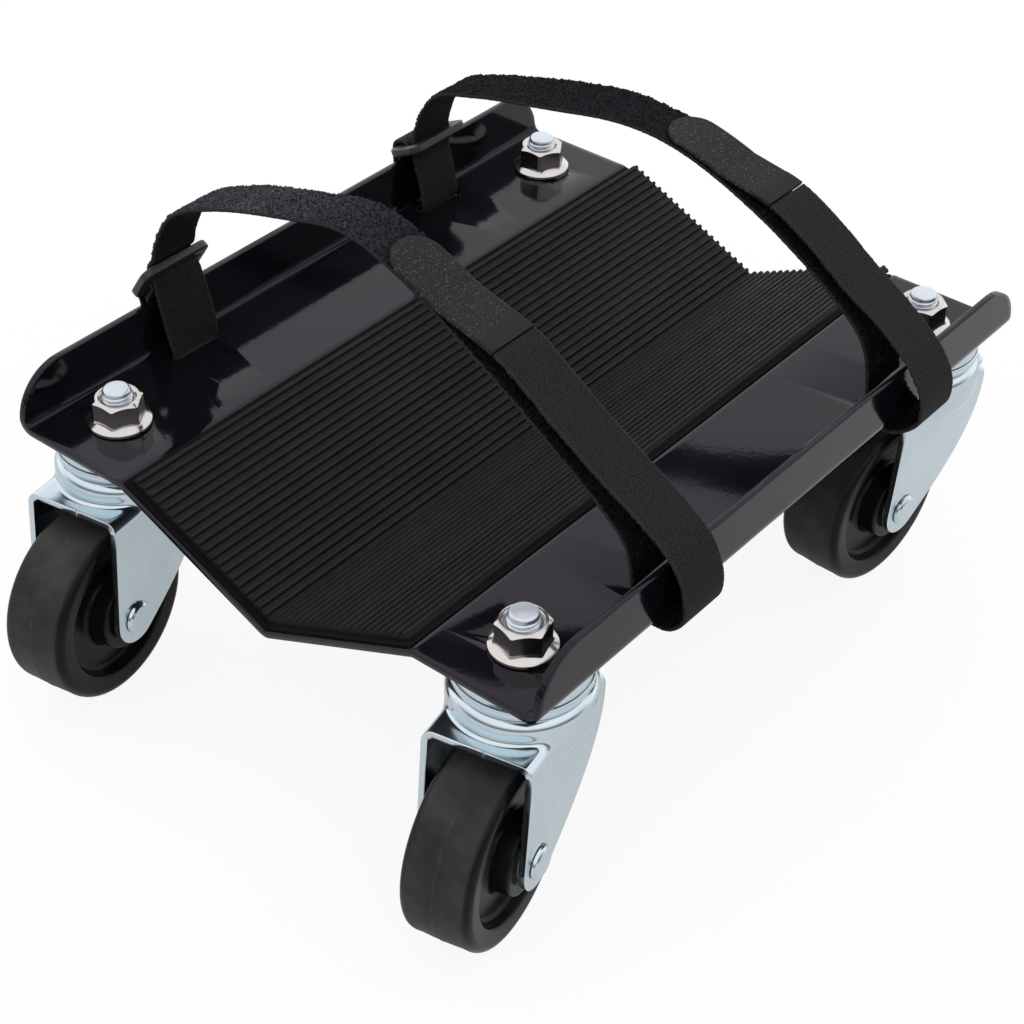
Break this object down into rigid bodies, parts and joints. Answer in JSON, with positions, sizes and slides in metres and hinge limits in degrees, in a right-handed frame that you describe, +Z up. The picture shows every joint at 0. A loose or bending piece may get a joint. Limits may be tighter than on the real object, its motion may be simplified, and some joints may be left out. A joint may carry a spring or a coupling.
{
  "type": "V-trough wheel dolly",
  "caption": "Low steel dolly with a rubber-lined V trough, upright side flanges, hook-and-loop cinch straps over the trough and swivel casters under the corners.",
  "frame": {"origin": "on the floor, under the middle of the whole object's box, with the casters trailing as pictured", "axes": "+Z up, +Y along the trough from the end nearest the camera to the far end, +X across the dolly to the side where the straps return on themselves"},
  "size_m": [0.2742, 0.3523, 0.2059],
  "materials": {
    "gloss_black": "gloss black powder coat",
    "mat_rubber": "matte ribbed",
    "webbing": "woven, looped pile on one side",
    "hook_tape": "fine hook tape",
    "ring_plastic": "satin",
    "zinc": "bright zinc plate on pressed steel",
    "bright_zinc": "bright zinc plate",
    "steel": "plain steel",
    "hard_rubber": "semi-gloss moulded hard rubber"
  },
  "bodies": {
    "deck": {"deck_plate": "gloss_black", "rubber_mat": "mat_rubber", "front_strap": "webbing", "front_hook_tape": "hook_tape", "front_strap_ring": "ring_plastic", "rear_strap": "webbing", "rear_hook_tape": "hook_tape", "rear_strap_ring": "ring_plastic", "front_left_kingpin": "bright_zinc", "front_left_flange_nut": "bright_zinc", "front_left_top_race": "zinc", "front_left_lower_race": "zinc", "front_right_kingpin": "bright_zinc", "front_right_flange_nut": "bright_zinc", "front_right_top_race": "zinc", "front_right_lower_race": "zinc", "rear_left_kingpin": "bright_zinc", "rear_left_flange_nut": "bright_zinc", "rear_left_top_race": "zinc", "rear_left_lower_race": "zinc", "rear_right_kingpin": "bright_zinc", "rear_right_flange_nut": "bright_zinc", "rear_right_top_race": "zinc", "rear_right_lower_race": "zinc"},
    "front_left_fork": {"front_left_fork": "zinc", "front_left_race_ring": "zinc", "front_left_ball_cage": "steel", "front_left_axle_rivet": "zinc", "front_left_axle_sleeve": "steel"},
    "front_left_wheel": {"front_left_wheel": "hard_rubber", "front_left_wheel_bushing": "steel"},
    "front_right_fork": {"front_right_fork": "zinc", "front_right_race_ring": "zinc", "front_right_ball_cage": "steel", "front_right_axle_rivet": "zinc", "front_right_axle_sleeve": "steel"},
    "front_right_wheel": {"front_right_wheel": "hard_rubber", "front_right_wheel_bushing": "steel"},
    "rear_left_fork": {"rear_left_fork": "zinc", "rear_left_race_ring": "zinc", "rear_left_ball_cage": "steel", "rear_left_axle_rivet": "zinc", "rear_left_axle_sleeve": "steel"},
    "rear_left_wheel": {"rear_left_wheel": "hard_rubber", "rear_left_wheel_bushing": "steel"},
    "rear_right_fork": {"rear_right_fork": "zinc", "rear_right_race_ring": "zinc", "rear_right_ball_cage": "steel", "rear_right_axle_rivet": "zinc", "rear_right_axle_sleeve": "steel"},
    "rear_right_wheel": {"rear_right_wheel": "hard_rubber", "rear_right_wheel_bushing": "steel"}
  },
  "joints": [
    {"name": "front_left_swivel", "type": "hinge", "parent": "deck", "child": "front_left_fork", "pos_m": [-0.1003, -0.10975, 0.1002], "axis": [0, 0, 1], "continuous": true},
    {"name": "front_left_spin", "type": "hinge", "parent": "front_left_fork", "child": "front_left_wheel", "pos_m": [-0.09623, -0.13664, 0.0381], "axis": [0.9888, 0.1495, 0], "continuous": true},
    {"name": "front_right_swivel", "type": "hinge", "parent": "deck", "child": "front_right_fork", "pos_m": [0.1003, -0.10975, 0.1002], "axis": [0, 0, 1], "continuous": true},
    {"name": "front_right_spin", "type": "hinge", "parent": "front_right_fork", "child": "front_right_wheel", "pos_m": [0.10572, -0.1364, 0.0381], "axis": [0.9799, 0.1994, 0], "continuous": true},
    {"name": "rear_left_swivel", "type": "hinge", "parent": "deck", "child": "rear_left_fork", "pos_m": [-0.1003, 0.14885, 0.1002], "axis": [0, 0, 1], "continuous": true},
    {"name": "rear_left_spin", "type": "hinge", "parent": "rear_left_fork", "child": "rear_left_wheel", "pos_m": [-0.0984, 0.12172, 0.0381], "axis": [0.9976, 0.0698, 0], "continuous": true},
    {"name": "rear_right_swivel", "type": "hinge", "parent": "deck", "child": "rear_right_fork", "pos_m": [0.1003, 0.14885, 0.1002], "axis": [0, 0, 1], "continuous": true},
    {"name": "rear_right_spin", "type": "hinge", "parent": "rear_right_fork", "child": "rear_right_wheel", "pos_m": [0.0984, 0.12172, 0.0381], "axis": [0.9976, -0.0698, 0], "continuous": true}
  ]
}
